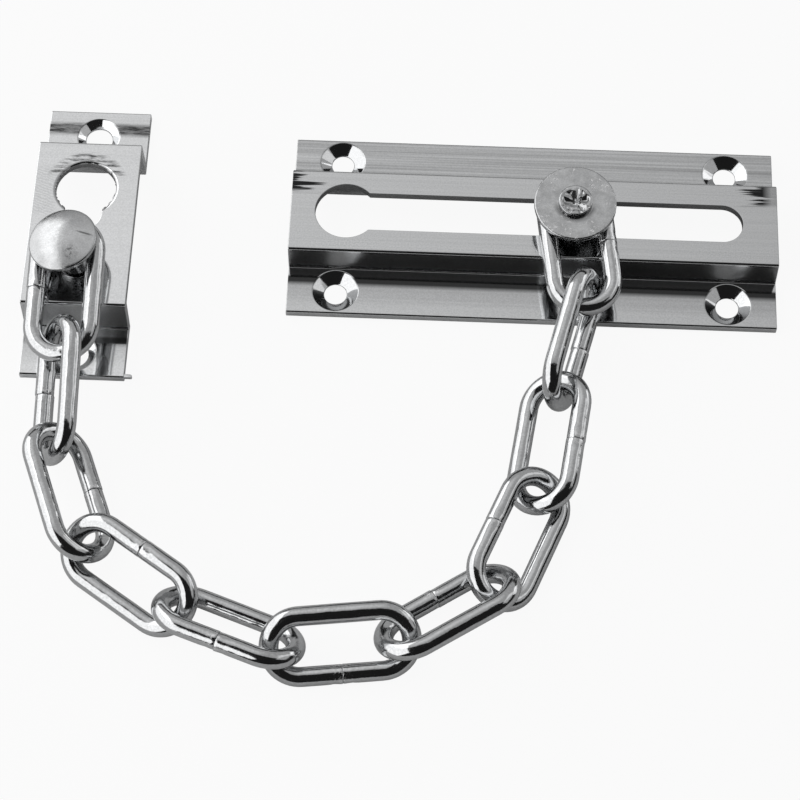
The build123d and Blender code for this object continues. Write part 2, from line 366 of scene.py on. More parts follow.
def slide_chrome(finish, sizes, half_length, height):
    """Chrome plate on a drawn section, cut to length: bright metal with draw lines along X.

    The eye sees fine lines on the rear flange, a clearer mirror on the raised top, the front
    flange and in the countersinks, and dark torn streaks where the saw cut the ends.
    """
    half_raised = sizes.slide_raised / 2
    material, tree = new_material("chrome_plate_drawn_slide")
    place = add_node(tree, "TexCoord").outputs["Object"]
    axes = add_node(tree, "SeparateXYZ", links={0: place}).outputs
    rear_half = add_node(tree, "MapRange", ramp(-2 * MM, 3 * MM, 0.12), {"Value": axes["Y"]})
    # The raised top was buffed, which left few of its lines
    top = between(tree, axes["Z"], height - 0.5 * MM, height + 1 * MM, 0.2 * MM)
    lines_and_painted_shade = add_node(tree, "MapRange", {"To Max": 0.2}, {"Value": top, "To Min": rear_half})
    machined = machined_faces(tree, axes, sizes.sheet)
    lined = add_node(tree, "MapRange", {"To Max": 0.0}, {"Value": machined, "To Min": lines_and_painted_shade})
    lines, dull, shade = drawn_lines(tree, place, lined)
    # Painted shade beside the front web's foot, and dimmer, duller webs
    wear_and_painted_shade = {"painted_corner_shade": 0.07, "web_shade": 0.6, "web_dull": 0.3}
    shade, dull = plate_wear_and_painted_shade(
        tree, axes, shade, dull, -half_raised, half_raised, height, sizes, **wear_and_painted_shade
    )
    # The streaks reach further in at the right end, and thin out next to its cut
    aside = add_node(tree, "Math", {1: 1.4 * MM}, {0: axes["X"]}, operation="ADD")
    off_middle = add_node(tree, "Math", links={0: aside}, operation="ABSOLUTE")
    # Torn streaks are 0.8 mm wide and end raggedly some millimetres from the cut
    tear_way = add_node(tree, "Mapping", {"Scale": per_mm(30, 0.8, 0.8)}, {"Vector": place})
    tears = add_node(tree, "TexNoise", spots(4.0, 0.65), {"Vector": tear_way})
    ragged = {1: 24 * MM, 2: half_length - 15.7 * MM}
    reach = add_node(tree, "Math", ragged, {0: tears}, operation="MULTIPLY_ADD")
    past = add_node(tree, "Math", links={0: off_middle, 1: reach}, operation="SUBTRACT")
    by_cut = ramp(half_length - 1.3 * MM, half_length + 0.4 * MM, at_high=0.3)
    thinned = add_node(tree, "MapRange", by_cut, {"Value": off_middle, "To Min": top})
    rear = between(tree, axes["Y"], half_raised * 0.48, half_raised, 0.4 * MM, thinned)
    torn = add_node(tree, "MapRange", ramp(0.0, 1.2 * MM), {"Value": past, "To Max": rear})
    marks = (torn, finish.torn, 0.35)
    chrome_surface(tree, place, finish.plate, shade, dull, lines, LINE_DEPTH, marks)
    return material


def keep_chrome(finish, sizes, left, keyhole, front, rear, height):
    """Chrome plate on a drawn and milled section: softer and paler than the slide plate.

    The eye sees milling ripples beside the keyhole, smudges round its rear rim, a painted dark
    reflection as a band across the rear flange, and painted shade beside the front web's foot.
    """
    keyhole_radius = sizes.keep_key / 2
    key_x, key_y = keyhole
    rear_end = rear + sizes.lean + sizes.keep_rear_flange
    material, tree = new_material("chrome_plate_milled_keep")
    place = add_node(tree, "TexCoord").outputs["Object"]
    axes = add_node(tree, "SeparateXYZ", links={0: place}).outputs
    rear_part = add_node(
        tree, "MapRange", ramp(key_y + 4 * MM, key_y + 7 * MM, 0.05, 0.12), {"Value": axes["Y"]}
    )
    machined = machined_faces(tree, axes, sizes.sheet)
    lined = add_node(tree, "MapRange", {"To Max": 0.0}, {"Value": machined, "To Min": rear_part})
    lines, dull, shade = drawn_lines(tree, place, lined)
    # Painted shade beside the front web's foot, lighter than the slide's, and dimmer, duller webs
    wear_and_painted_shade = {"painted_corner_shade": 0.4, "web_shade": 0.85, "web_dull": 0.35}
    shade, dull = plate_wear_and_painted_shade(tree, axes, shade, dull, front, rear, height, sizes, **wear_and_painted_shade)
    # Milling ripples 0.55 mm apart, running down to the right, drawn as darker stripes in the
    # colour
    ripple_way = add_node(tree, "Mapping", {"Rotation": (0.0, 0.0, -1.2)}, {"Vector": place})
    # A wave texture of scale 1 repeats every tau / 20
    spacing = math.tau / 20 / (0.55 * MM)
    ripples = add_node(
        tree,
        "TexWave",
        {"Scale": spacing, "Distortion": 6.0, "Detail": 3.0, "Detail Scale": 1.5},
        {"Vector": ripple_way},
    )
    beside = between(tree, axes["X"], left, left + 4.2 * MM, 0.6 * MM)
    by_key = between(tree, axes["Y"], key_y - 6.0 * MM, key_y + 4.5 * MM, 1.0 * MM, beside)
    rippled = add_node(
        tree, "Math", links={0: ripples.outputs["Fac"], 1: by_key}, operation="MULTIPLY"
    )
    milled = add_node(tree, "MapRange", {"To Max": 0.85}, {"Value": rippled, "To Min": shade})
    # Smudges are long in X, about 0.6 mm wide, and keep close to the keyhole's rear rim
    from_key = add_node(
        tree, "Mapping", {"Location": (-key_x, -key_y, 0.0), "Scale": FLAT}, {"Vector": place}
    )
    away = add_node(tree, "VectorMath", links={0: from_key}, operation="LENGTH")
    smear_way = add_node(tree, "Mapping", {"Scale": per_mm(4.0, 0.6, 0.6)}, {"Vector": place})
    smears = add_node(tree, "TexNoise", spots(4.0, 0.7), {"Vector": smear_way})
    behind = between(tree, axes["Y"], key_y + 3.0 * MM, key_y + 8.5 * MM, 0.5 * MM)
    near_rim, far_rim = keyhole_radius + 0.3 * MM, keyhole_radius + 2.0 * MM
    rim = between(tree, away, near_rim, far_rim, 0.5 * MM, behind)
    smudge = add_node(tree, "MapRange", ramp(0.45, 0.62), {"Value": smears, "To Max": rim})
    # Painted dark reflection: a streaky band across the rear flange, 2.8 to 5.2 mm from its end
    streak = add_node(tree, "MapRange", ramp(0.3, 0.6, 0.35, 0.95), {"Value": smears})
    painted_reflection_band = between(tree, axes["Y"], rear_end - 5.2 * MM, rear_end - 2.8 * MM, 0.5 * MM, streak)
    mark = add_node(tree, "Math", links={0: smudge, 1: painted_reflection_band}, operation="MAXIMUM")
    flat_mark = add_node(tree, "MapRange", {"To Max": 0.0}, {"Value": machined, "To Min": mark})
    marks = (flat_mark, finish.torn, 0.4)
    chrome_surface(tree, place, finish.keep, milled, dull, lines, LINE_DEPTH, marks)
    return material


def polished_wire_chrome(finish, run):
    """Polished chrome on drawn wire: a soft mirror with faint die lines along the wire.

    The eye sees bands of the room with uneven edges, and scuffs where the wire's ends were closed.
    """
    material, tree = new_material("polished_chrome_wire")
    along = add_node(tree, "UVMap", uv_map="wire").outputs[0]
    # U runs along the wire and V round it, both in metres; die lines are about 0.35 mm apart
    lengthwise = {"Scale": (1 / (14 * MM), 1 / (0.35 * MM), 1.0)}
    die = add_node(tree, "Mapping", lengthwise, {"Vector": along})
    die_lines = add_node(tree, "TexNoise", spots(2.0, 0.5), {"Vector": die})
    place = add_node(tree, "TexCoord").outputs["Object"]
    # Slow waves a few millimetres long, left by bending and barrel polishing
    waves = add_node(tree, "TexNoise", spots(1.0, 0.4, size=3.2), {"Vector": place})
    # Orange peel of the plating, about half a millimetre wide
    peel = add_node(tree, "TexNoise", spots(2.0, 0.6, size=0.5), {"Vector": place})
    lined = add_node(tree, "Math", {1: 0.04}, {0: die_lines, 2: waves}, operation="MULTIPLY_ADD")
    height = add_node(tree, "Math", {1: 0.06}, {0: peel, 2: lined}, operation="MULTIPLY_ADD")
    dull = add_node(tree, "MapRange", ramp(0.35, 0.7, 0.09, 0.16), {"Value": die_lines})
    shade = add_node(tree, "MapRange", ramp(0.3, 0.7, 1.0, 0.88), {"Value": peel})
    # Scuffs reach about two millimetres from each cut end
    travelled = add_node(tree, "SeparateXYZ", links={0: along}).outputs["X"]
    first_end = between(tree, travelled, -2 * MM, 1.6 * MM, 0.8 * MM)
    last_end = between(tree, travelled, run - 1.2 * MM, run + 2 * MM, 0.6 * MM)
    ends = add_node(tree, "Math", links={0: first_end, 1: last_end}, operation="MAXIMUM")
    scuffs = add_node(tree, "TexNoise", spots(3.0, 0.7, size=0.7), {"Vector": place})
    scuffed = add_node(tree, "MapRange", ramp(0.52, 0.6), {"Value": scuffs, "To Max": ends})
    marks = (scuffed, finish.chip, 0.35)
    chrome_surface(tree, place, finish.wire, shade, dull, height, 0.15 * MM, marks)
    return material


def turned_chrome(finish, middle, tail):
    """Chrome on turned metal: a soft mirror with chips and scuffs from handling.

    The eye sees a grey sheen with clusters of small bright chips, and a darker arc just in front
    of the staked tail.
    """
    material, tree = new_material("turned_chrome_stud")
    place = add_node(tree, "TexCoord").outputs["Object"]
    # Chips a few tenths of a millimetre across, in clusters some millimetres wide
    chips = add_node(tree, "TexNoise", spots(3.0, 0.6, size=0.55), {"Vector": place})
    clusters = add_node(tree, "TexNoise", spots(1.0, 0.5, size=3.0), {"Vector": place})
    clustered = add_node(tree, "MapRange", ramp(0.45, 0.6), {"Value": clusters})
    chipped = add_node(tree, "MapRange", ramp(0.55, 0.62), {"Value": chips, "To Max": clustered})
    # Haze from handling, about two millimetres wide
    haze = add_node(tree, "TexNoise", spots(5.0, 0.65, size=2.2), {"Vector": place})
    hazed = add_node(tree, "MapRange", ramp(0.32, 0.68, 0.72, 1.0), {"Value": haze})
    dull = add_node(tree, "MapRange", ramp(0.3, 0.7, 0.24, 0.14), {"Value": haze})
    # The darker arc lies within about a millimetre of the staked tail, on its front side
    from_middle = add_node(
        tree,
        "Mapping",
        {"Location": (-middle[0], -middle[1], 0.0), "Scale": FLAT},
        {"Vector": place},
    )
    away = add_node(tree, "VectorMath", links={0: from_middle}, operation="LENGTH")
    offset = add_node(tree, "SeparateXYZ", links={0: from_middle}).outputs
    front = between(tree, offset["Y"], -6 * MM, -0.6 * MM, 0.8 * MM, haze)
    ring = between(tree, away, tail / 2, tail / 2 + 0.7 * MM, 0.4 * MM, front)
    shade = add_node(
        tree, "MapRange", {"From Max": 0.6, "To Max": 0.3}, {"Value": ring, "To Min": hazed}
    )
    marks = (chipped, finish.chip, 0.3)
    chrome_surface(tree, place, finish.stud, shade, dull, chipped, 0.02 * MM, marks)
    return material


def dome_chrome(finish, middle):
    """Chrome on a pressed dome: a soft mirror with one dark scratch and a worn patch.

    The eye sees one side of the room as a bright half with a soft edge, under a few scuffs.
    """
    material, tree = new_material("polished_chrome_dome")
    place = add_node(tree, "TexCoord").outputs["Object"]
    # The scratch runs along X after the turn, 3 mm long and 0.3 mm wide
    from_middle = add_node(
        tree,
        "Mapping",
        {"Location": (-middle[0], -middle[1], 0.0), "Scale": FLAT},
        {"Vector": place},
    )
    turned = add_node(tree, "Mapping", {"Rotation": (0.0, 0.0, 0.27)}, {"Vector": from_middle})
    axes = add_node(tree, "SeparateXYZ", links={0: turned}).outputs
    across = between(tree, axes["Y"], 1.72 * MM, 1.95 * MM, 0.14 * MM)
    scratch = between(tree, axes["X"], 2.6 * MM, 5.2 * MM, 0.6 * MM, across)
    # Scuffs are some tenths of a millimetre wide, and the worn patch is 3 mm across
    scuffs = add_node(tree, "TexNoise", spots(3.0, 0.65, size=0.7), {"Vector": place})
    patch_way = add_node(
        tree, "Mapping", {"Location": (-1.9 * MM, 3.1 * MM, 0.0)}, {"Vector": from_middle}
    )
    away = add_node(tree, "VectorMath", links={0: patch_way}, operation="LENGTH")
    scuffed = add_node(tree, "MapRange", ramp(0.48, 0.6, 0.05, 0.6), {"Value": scuffs})
    worn = between(tree, away, -1 * MM, 1.3 * MM, 0.4 * MM, scuffed)
    mark = add_node(tree, "Math", links={0: scratch, 1: worn}, operation="MAXIMUM")
    # Haze from handling, some millimetres wide
    haze = add_node(tree, "TexNoise", spots(4.0, 0.6, size=2.5), {"Vector": place})
    shade = add_node(tree, "MapRange", ramp(0.3, 0.7, 0.72, 0.9), {"Value": haze})
    dull = add_node(tree, "MapRange", ramp(0.35, 0.65, 0.18, 0.26), {"Value": scuffs})
    marks = (mark, finish.torn, 0.3)
    chrome_surface(tree, place, finish.stud, shade, dull, scuffs, 0.008 * MM, marks)
    return material


def rounded(points, radii, steps=6, closed=True):
    """A 2-D outline with some of its corners rounded."""
    out = []
    count = len(points)
    for i, point in enumerate(points):
        here = Vector(point)
        radius = radii.get(i, 0.0)
        if radius <= 0 or (not closed and i in (0, count - 1)):
            out.append(here)
            continue
        back = (Vector(points[i - 1]) - here).normalized()
        ahead = (Vector(points[(i + 1) % count]) - here).normalized()
        half = math.acos(max(-1.0, min(1.0, back.dot(ahead)))) / 2
        centre = here + (back + ahead).normalized() * (radius / math.sin(half))
        start = here + back * (radius / math.tan(half)) - centre
        sweep = math.pi - 2 * half
        if back.x * ahead.y - back.y * ahead.x > 0:
            sweep = -sweep
        for k in range(steps + 1):
            a = sweep * k / steps
            x = start.x * math.cos(a) - start.y * math.sin(a)
            y = start.x * math.sin(a) + start.y * math.cos(a)
            out.append(centre + Vector((x, y)))
    return out


def new_piece(name, bm, material):
    """An object with this mesh, in the scene and with one material."""
    mesh = bpy.data.meshes.new(name)
    bmesh.ops.recalc_face_normals(bm, faces=bm.faces)
    bm.to_mesh(mesh)
    bm.free()
    piece = bpy.data.objects.new(name, mesh)
    bpy.context.scene.collection.objects.link(piece)
    if material:
        mesh.materials.append(material)
    return piece


def settle(piece):
    """Applies the piece's modifiers to its mesh."""
    bpy.context.view_layer.update()
    graph = bpy.context.evaluated_depsgraph_get()
    made = piece.evaluated_get(graph)
    mesh = bpy.data.meshes.new_from_object(made, preserve_all_data_layers=True, depsgraph=graph)
    old = piece.data
    piece.modifiers.clear()
    piece.data = mesh
    mesh.name = piece.name
    bpy.data.meshes.remove(old)


def prism(outline, matrix, depth):
    """A closed prism on a 2-D outline, from its plane up to depth, in a bmesh."""
    bm = bmesh.new()
    low = [bm.verts.new(matrix @ Vector((p[0], p[1], 0))) for p in outline]
    top = [bm.verts.new(matrix @ Vector((p[0], p[1], depth))) for p in outline]
    bm.faces.new(low)
    bm.faces.new(top)
    for i in range(len(low)):
        j = (i + 1) % len(low)
        bm.faces.new((low[i], low[j], top[j], top[i]))
    return bm


def lathe(rings, matrix, steps=ROUND_STEPS, push=lambda angle, radius, height: 0.0):
    """A solid of revolution on (radius, height) rings, in a bmesh; push lifts its points."""
    bm = bmesh.new()
    loops = []
    for radius, height in rings:
        loop = []
        for k in range(1 if radius < ON_AXIS else steps):
            a = math.tau * k / steps
            at = (radius * math.cos(a), radius * math.sin(a), height + push(a, radius, height))
            loop.append(bm.verts.new(matrix @ Vector(at)))
        loops.append(loop)
    pairs = list(zip(loops, loops[1:]))
    if len(loops[0]) > 1:
        pairs.append((loops[-1], loops[0]))
    for one, two in pairs:
        for k in range(steps):
            n = (k + 1) % steps
            if len(one) == 1:
                bm.faces.new((one[0], two[k], two[n]))
            elif len(two) == 1:
                bm.faces.new((one[k], one[n], two[0]))
            else:
                bm.faces.new((one[k], one[n], two[n], two[k]))
    return bm


def smooth_normals(piece, angle):
    """Smooth shading that keeps flat faces flat, and corners over an angle in degrees sharp."""
    piece.data.shade_smooth()
    piece.data.set_sharp_from_angle(angle=math.radians(angle))
    even = piece.modifiers.new("even_normals", "WEIGHTED_NORMAL")
    even.keep_sharp = True
    settle(piece)


def circle(radius, centre=(0, 0), steps=ROUND_STEPS):
    """Points round a circle."""
    turns = [math.tau * k / steps for k in range(steps)]
    return [(centre[0] + radius * math.cos(a), centre[1] + radius * math.sin(a)) for a in turns]


def slot_outline(start, end, width, steps=40):
    """Points round a slot between two end centres."""
    a, b = Vector(start), Vector(end)
    way = math.atan2(b.y - a.y, b.x - a.x)
    out = []
    for centre, first in ((b, way - math.pi / 2), (a, way + math.pi / 2)):
        for k in range(steps + 1):
            turn = first + math.pi * k / steps
            x, y = width / 2 * math.cos(turn), width / 2 * math.sin(turn)
            out.append((centre.x + x, centre.y + y))
    return out


def cut_away(piece, cutters):
    """Cuts each cutter out of the piece and removes the cutter."""
    for bm in cutters:
        cutter = new_piece("cutter", bm, None)
        saw = piece.modifiers.new("cut", "BOOLEAN")
        saw.operation = "DIFFERENCE"
        saw.solver = "EXACT"
        saw.object = cutter
        settle(piece)
        mesh = cutter.data
        bpy.data.objects.remove(cutter)
        bpy.data.meshes.remove(mesh)


def soften_edges(piece, width, angle):
    """Bevels the edges that turn by more than an angle in degrees."""
    soften = piece.modifiers.new("soft_edges", "BEVEL")
    soften.width = width
    soften.segments = 2
    soften.limit_method = "ANGLE"
    soften.angle_limit = math.radians(angle)
    soften.use_clamp_overlap = False
    settle(piece)


def screw_hole(x, y, sheet, bore, sink, deep, steps=72):
    """Cutters of one countersunk screw hole."""
    slope = (sink - bore) / 2 / deep
    over = 0.6 * MM
    low, top = sheet - deep, sheet + over
    cone = [(0, low), (bore / 2, low), (sink / 2 + over * slope, top), (0, top)]
    at = Matrix.Translation((x, y, 0))
    drill = prism(circle(bore / 2, steps=steps), at @ Matrix.Translation((0, 0, -over)), sheet)
    return [drill, lathe(cone, at, steps)]


def channel_plate(name, ends, front, rear, flanges, height, cutters, sizes, material):
    """A plate of the channel section along X with its holes cut and its edges softened."""
    sheet, bend, outer = sizes.sheet, sizes.bend, sizes.flange_round
    front_foot, rear_foot = front - sizes.lean, rear + sizes.lean
    front_end, rear_end = front_foot - flanges[0], rear_foot + flanges[1]
    # Points across the section, each with the rounding of its corner
    foot, under = bend * 0.6, 0.2 * MM
    section = [
        (front_end, 0, under),
        (front_end, sheet, outer),
        (front_foot, sheet, foot),
        (front, height, bend),
        (rear, height, bend),
        (rear_foot, sheet, foot),
        (rear_end, sheet, outer),
        (rear_end, 0, under),
        (rear_foot - sheet, 0, 0),
        (rear - sheet, height - sheet, under),
        (front + sheet, height - sheet, under),
        (front_foot + sheet, 0, 0),
    ]
    outline = rounded([p[:2] for p in section], {i: p[2] for i, p in enumerate(section)})
    along_x = Matrix(((0, 0, 1, ends[0]), (1, 0, 0, 0), (0, 1, 0, 0), (0, 0, 0, 1)))
    piece = new_piece(name, prism(outline, along_x, ends[1] - ends[0]), material)
    cut_away(piece, cutters)
    soften_edges(piece, sizes.edge, angle=20)
    smooth_normals(piece, angle=25)
    return piece


def axis_frame(joint):
    """Matrix with its origin on a joint and Z along the upward side of its axis."""
    axis = Vector(joint["axis"]).normalized()
    if axis.z < 0:
        axis = -axis
    side = Vector((0, 1, 0)).cross(axis).normalized()
    turn = Matrix((side, axis.cross(side), axis)).transposed().to_4x4()
    return Matrix.Translation(joint["pos_m"]) @ turn


def level_span(node, matrix):
    """Lowest and highest point of a CAD node along a frame's Z."""
    back = matrix.inverted()
    heights = [(back @ v.co).z for v in frame["nodes"][node].data.vertices]
    return min(heights), max(heights)


def finish_piece(piece, body, slot, *nodes):
    """Sets a finished piece on its body in place of its CAD nodes."""
    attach(piece, body)
    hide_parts(*nodes)


@listed
class DOORCHAIN_OT_slide_plate(bpy.types.Operator):
    """Builds the slotted slide plate"""

    bl_idname = "doorchain.slide_plate"
    bl_label = "Slide plate"

    def execute(self, context):
        sizes = context.scene.doorchain_plates
        low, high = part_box("slide_plate")
        half = sizes.slide_raised / 2
        flange = high.y - half - sizes.lean
        below = Matrix.Translation((0, 0, high.z - 2 * sizes.sheet))
        deep = 4 * sizes.sheet
        slot = slot_outline((-sizes.slot_half, 0), (sizes.slot_half, 0), sizes.slot)
        keyhole = circle(sizes.keyhole / 2, (-sizes.slot_half, 0))
        cutters = [prism(slot, below, deep), prism(keyhole, below, deep)]
        # The softened rim brings a countersink to its full width
        sink = sizes.sink - sizes.edge
        for x in (-sizes.hole_x, sizes.hole_x):
            for y in (-sizes.hole_y, sizes.hole_y):
                cutters += screw_hole(x, y, sizes.sheet, sizes.bore, sink, sizes.sink_deep)
        metal = slide_chrome(context.scene.doorchain_finish, sizes, high.x, high.z)
        ends, flanges = (low.x, high.x), (flange, flange)
        piece = channel_plate(
            "slide_plate_dressed", ends, -half, half, flanges, high.z, cutters, sizes, metal
        )
        finish_piece(piece, "slide_plate", "plate_chrome", "slide_plate")
        return {"FINISHED"}


@listed
class DOORCHAIN_OT_keep_plate(bpy.types.Operator):
    """Builds the keep plate with its parking keyhole"""

    bl_idname = "doorchain.keep_plate"
    bl_label = "Keep plate"

    def execute(self, context):
        sizes = context.scene.doorchain_plates
        low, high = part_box("keep_plate")
        stud = Vector(JOINTS["keep_swivel"]["pos_m"])
        flanges = (sizes.keep_front_flange, sizes.keep_rear_flange)
        rear = high.y - sizes.keep_rear_flange - sizes.lean
        front = low.y + sizes.keep_front_flange + sizes.lean
        ends = (low.x, low.x + sizes.keep_width)
        mid = (ends[0] + ends[1]) / 2
        key_y = rear - sizes.keep_key_in
        below = Matrix.Translation((0, 0, high.z - 2 * sizes.sheet))
        deep = 4 * sizes.sheet
        # The keyhole's rim is dressed to a shallow cone
        inner, over = sizes.keep_key / 2, sizes.key_rim
        rim = [(0, -over / 2), (inner, -over / 2), (inner + 2 * over, over / 2), (0, over / 2)]
        slot = slot_outline((mid, key_y - sizes.keep_key_drop), (mid, key_y), sizes.keep_slot)
        cutters = [
            prism(slot, below, deep),
            prism(circle(inner, (mid, key_y)), below, deep),
            prism(circle(sizes.stud_hole / 2, (mid, stud.y)), below, deep),
            lathe(rim, Matrix.Translation((mid, key_y, high.z))),
        ]
        sink = sizes.keep_sink - sizes.edge
        rear_hole = rear + sizes.lean + sizes.keep_rear_flange / 2
        front_hole = front - sizes.lean - sizes.keep_front_flange / 2
        for y in (rear_hole, front_hole):
            cutters += screw_hole(mid, y, sizes.sheet, sizes.keep_bore, sink, sizes.keep_sink_deep)
        finish = context.scene.doorchain_finish
        metal = keep_chrome(finish, sizes, low.x, (mid, key_y), front, rear, high.z)
        piece = channel_plate(
            "keep_plate_dressed", ends, front, rear, flanges, high.z, cutters, sizes, metal
        )
        finish_piece(piece, "keep", "plate_chrome", "keep_plate")
        # The burr grows out of the front right corner
        inner, outer = ends[1] - sizes.sheet / 2, ends[1] + sizes.nib_wide
        near_y, far_y = low.y + sizes.edge, low.y + sizes.nib_long
        corners = [(inner, near_y), (outer, near_y), (outer, far_y), (inner, far_y)]
        outline = rounded(corners, {1: 0.2 * MM, 2: 0.4 * MM}, steps=4)
        level = Matrix.Translation((0, 0, sizes.nib_under))
        nib = new_piece("keep_corner_burr", prism(outline, level, sizes.nib_thick), metal)
        soften_edges(nib, 0.12 * MM, angle=50)
        smooth_normals(nib, angle=40)
        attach(nib, "keep")
        return {"FINISHED"}


def link_axes(number):
    """Middle, along, across and facing directions of a link's CAD solid, along to the keep."""
    points = np.array([v.co for v in frame["nodes"][f"link_{number}"].data.vertices], float)
    _, _, rows = np.linalg.svd(points - points.mean(0), full_matrices=False)
    spans = points @ rows.T
    middle = Vector(rows.T @ ((spans.min(0) + spans.max(0)) / 2))
    along, across = Vector(rows[0]), Vector(rows[1])
    ahead = "keep_plate" if number == 1 else f"link_{number - 1}"
    low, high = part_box(ahead)
    if along.dot((low + high) / 2 - middle) < 0:
        along = -along
    left = Vector((0, 0, 1)).cross(along)
    if across.dot(left) < 0:
        across = -across
    return middle, along, across, along.cross(across)


def wire_stations(reach, turn, seam, side, step):
    """Points, directions and travelled lengths along a link's wire, from cut end to cut end."""
    arm = reach / 2 - turn
    runs = [
        ("line", (seam / 2, side * turn), (arm, side * turn)),
        ("arc", (arm, 0), side * math.pi / 2),
        ("line", (arm, -side * turn), (-arm, -side * turn)),
        ("arc", (-arm, 0), -side * math.pi / 2),
        ("line", (-arm, side * turn), (-seam / 2, side * turn)),
    ]
    stations = []
    travelled = 0.0
    for kind, first, last in runs:
        start = Vector(first)
        if kind == "line":
            span = Vector(last) - start
            size, way = span.length, span.normalized()
            count = max(2, round(size / step))
            for k in range(count):
                gone = size * k / count
                stations.append((start + way * gone, way, travelled + gone))
        else:
            size = math.pi * turn
            count = round(size / step)
            for k in range(count):
                a = last - side * math.pi * k / count
                out = Vector((math.cos(a), math.sin(a)))
                way = Vector((out.y, -out.x)) * side
                stations.append((start + out * turn, way, travelled + size * k / count))
        travelled += size
    stations.append((Vector((-seam / 2, side * turn)), Vector((1, 0)), travelled))
    return stations


def near(value, centre, width):
    """A smooth bump of height 1 round a centre."""
    return math.exp(-(((value - centre) / width) ** 2))


def eased(value):
    """A smooth step from 0 to 1."""
    value = min(max(value, 0.0), 1.0)
    return value * value * (3 - 2 * value)


def link_mesh(number, side, sizes, around=32):
    """One bent wire link with rounded cut ends, a stepped seam and closing marks, in a bmesh."""
    middle, along, across, facing = link_axes(number)
    stations = wire_stations(sizes.reach, sizes.turn, sizes.seam, side, step=0.55 * MM)
    total = stations[-1][2]
    # Extra stations round off the two cut ends
    ends = [sizes.seam_round * (1 - math.cos(a)) for a in (0.35, 0.7, 1.05, 1.4)]
    known = [s[2] for s in stations]
    places = sorted(set(known) | set(ends) | {total - e for e in ends})
    # The seam's step springs back along the wire, and the closing tool bit in beside the seam
    spring, bite_at, bite_long, bite_wide = 2.5 * MM, 1.5 * MM, 0.55 * MM, 0.28
    # Drawing and bending leave the wire a little uneven, each link in its own way
    uneven, short_wave, long_wave = 0.012 * MM, 3.1 * MM, 7.3 * MM
    own = number * 1.7
    bite_side = -0.75 + 0.5 * math.sin(own)
    bm = bmesh.new()
    uv = bm.loops.layers.uv.new("wire")
    rings = []
    for s in places:
        i = min(max(int(np.searchsorted(known, s, side="right")) - 1, 0), len(stations) - 2)
        share = (s - known[i]) / max(known[i + 1] - known[i], 1e-12)
        point = stations[i][0].lerp(stations[i + 1][0], share)
        way = stations[i][1].lerp(stations[i + 1][1], share).normalized()
        inward = Vector((way.y, -way.x)) * side
        to_end = min(s, total - s)
        radius = sizes.wire / 2
        if to_end < sizes.seam_round:
            gone = 1 - to_end / sizes.seam_round
            radius -= sizes.seam_round * (1 - math.sqrt(max(0.0, 1 - gone * gone)))
        step = sizes.seam_step / 2 * math.exp(-to_end / spring) * (1 if s < total / 2 else -1)
        ring = []
        for k in range(around):
            a = math.tau * k / around
            bump = uneven * math.sin(2 * a + s / short_wave + own) * math.sin(s / long_wave + own)
            bite = near(to_end, bite_at, bite_long) * near(math.cos(a), bite_side, bite_wide)
            r = radius + bump - sizes.bruise * bite
            flat = point + inward * (r * math.cos(a))
            up = r * math.sin(a) + step
            ring.append(bm.verts.new(middle + along * flat.x + across * flat.y + facing * up))
        rings.append((ring, s))
    for (one, s), (two, t) in zip(rings, rings[1:]):
        for k in range(around):
            n = (k + 1) % around
            face = bm.faces.new((one[k], one[n], two[n], two[k]))
            face.smooth = True
            spans = ((s, k), (s, k + 1), (t, k + 1), (t, k))
            for corner, (run, turn) in zip(face.loops, spans):
                corner[uv].uv = (run, turn / around * math.pi * sizes.wire)
    for ring, _ in (rings[0], rings[-1]):
        bm.faces.new(ring)
    return bm


@listed
class DOORCHAIN_OT_links(bpy.types.Operator):
    """Builds the bent wire links"""

    bl_idname = "doorchain.links"
    bl_label = "Links"

    inner_seams: IntProperty(
        name="Inner seams",
        description="Links whose seam is on the inside of the bend, one bit each",
        default=0b11001100,
    )

    def execute(self, context):
        sizes = context.scene.doorchain_links
        run = 2 * (sizes.reach - 2 * sizes.turn) + math.tau * sizes.turn - sizes.seam
        metal = polished_wire_chrome(context.scene.doorchain_finish, run)
        count = sum(1 for node in frame["nodes"] if node.startswith("link_"))
        for number in range(1, count + 1):
            side = -1 if self.inner_seams >> (number - 1) & 1 else 1
            piece = new_piece(f"link_{number}_dressed", link_mesh(number, side, sizes), metal)
            piece.data.set_sharp_from_angle(angle=math.radians(50))
            finish_piece(piece, f"link_{number}", "link_chrome", f"link_{number}")
        return {"FINISHED"}


